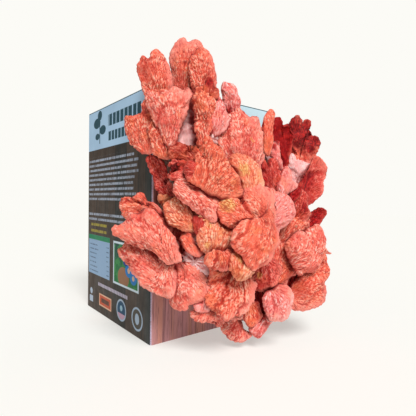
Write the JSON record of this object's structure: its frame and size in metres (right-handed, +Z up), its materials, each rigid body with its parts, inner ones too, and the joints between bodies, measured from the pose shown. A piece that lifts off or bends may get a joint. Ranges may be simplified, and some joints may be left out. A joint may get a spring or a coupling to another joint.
{
  "type": "oyster mushroom grow kit",
  "caption": "Carton with a window in its front, the grown block in its bag inside, and a cluster of ruffled coral-pink oyster mushrooms that stands out of the window.",
  "frame": {"origin": "middle of the carton's underside", "axes": "+Z up; -Y out of the carton's window face; +X to the right of someone facing the window"},
  "size_m": [0.1638, 0.2049, 0.2283],
  "materials": {
    "printed_board": "printed folding boxboard, satin: dark planks with a light blue band",
    "bag_film": "thin hazy film",
    "grown_block": "sawdust block grown through with white threads",
    "fused_feet": "pale stem feet grown together, matt",
    "coral_flesh": "soft felted mushroom flesh with fine radial fibres, matt",
    "pale_flesh": "soft felted mushroom flesh with fine radial fibres, matt",
    "deep_flesh": "deep red gill side, with thin gills that run from the stem",
    "ochre_flesh": "soft felted mushroom flesh with fine radial fibres, matt",
    "cream_flesh": "soft felted mushroom flesh with fine radial fibres, matt"
  },
  "bodies": {
    "root": {"carton": "printed_board", "cluster_base": "fused_feet", "grow_bag": "bag_film", "mushroom_centre_big": "coral_flesh", "mushroom_centre_fold": "deep_flesh", "mushroom_centre_gold": "cream_flesh", "mushroom_centre_low": "coral_flesh", "mushroom_centre_orange": "ochre_flesh", "mushroom_centre_right": "pale_flesh", "mushroom_centre_round": "coral_flesh", "mushroom_centre_slanting": "coral_flesh", "mushroom_centre_small": "coral_flesh", "mushroom_centre_yellow": "ochre_flesh", "mushroom_crown_curl": "coral_flesh", "mushroom_crown_folded": "pale_flesh", "mushroom_crown_front": "coral_flesh", "mushroom_crown_inner": "deep_flesh", "mushroom_crown_left": "coral_flesh", "mushroom_crown_narrow": "pale_flesh", "mushroom_crown_right": "pale_flesh", "mushroom_crown_tall": "coral_flesh", "mushroom_crown_wing": "coral_flesh", "mushroom_end_cupped": "deep_flesh", "mushroom_end_fold": "deep_flesh", "mushroom_end_foot": "pale_flesh", "mushroom_end_gilled": "deep_flesh", "mushroom_end_leaf_back": "pale_flesh", "mushroom_end_leaf_pair": "coral_flesh", "mushroom_end_leaf_right": "pale_flesh", "mushroom_end_small": "deep_flesh", "mushroom_end_upright": "pale_flesh", "mushroom_left_button": "cream_flesh", "mushroom_left_dark": "deep_flesh", "mushroom_left_fan": "coral_flesh", "mushroom_left_hanging": "coral_flesh", "mushroom_left_lobe_pair": "ochre_flesh", "mushroom_left_lobe_upper": "deep_flesh", "mushroom_left_lower": "coral_flesh", "mushroom_left_ruffled": "coral_flesh", "mushroom_low_ball": "pale_flesh", "mushroom_low_dark": "deep_flesh", "mushroom_low_inner": "coral_flesh", "mushroom_low_pale": "pale_flesh", "mushroom_low_ruffled": "coral_flesh", "mushroom_low_skirt": "coral_flesh", "mushroom_low_stub": "cream_flesh", "mushroom_lowest": "pale_flesh", "mushroom_right_corner": "coral_flesh", "mushroom_right_dark_leaf": "deep_flesh", "mushroom_right_double": "coral_flesh", "mushroom_right_long": "coral_flesh", "mushroom_right_narrow": "coral_flesh", "mushroom_right_pink": "pale_flesh", "mushroom_right_shade": "deep_flesh", "mushroom_upper_broad": "coral_flesh", "mushroom_upper_ochre": "ochre_flesh", "stems_crown": "pale_flesh", "stems_low": "pale_flesh", "stems_right": "pale_flesh", "substrate_block": "grown_block"}
  },
  "joints": []
}
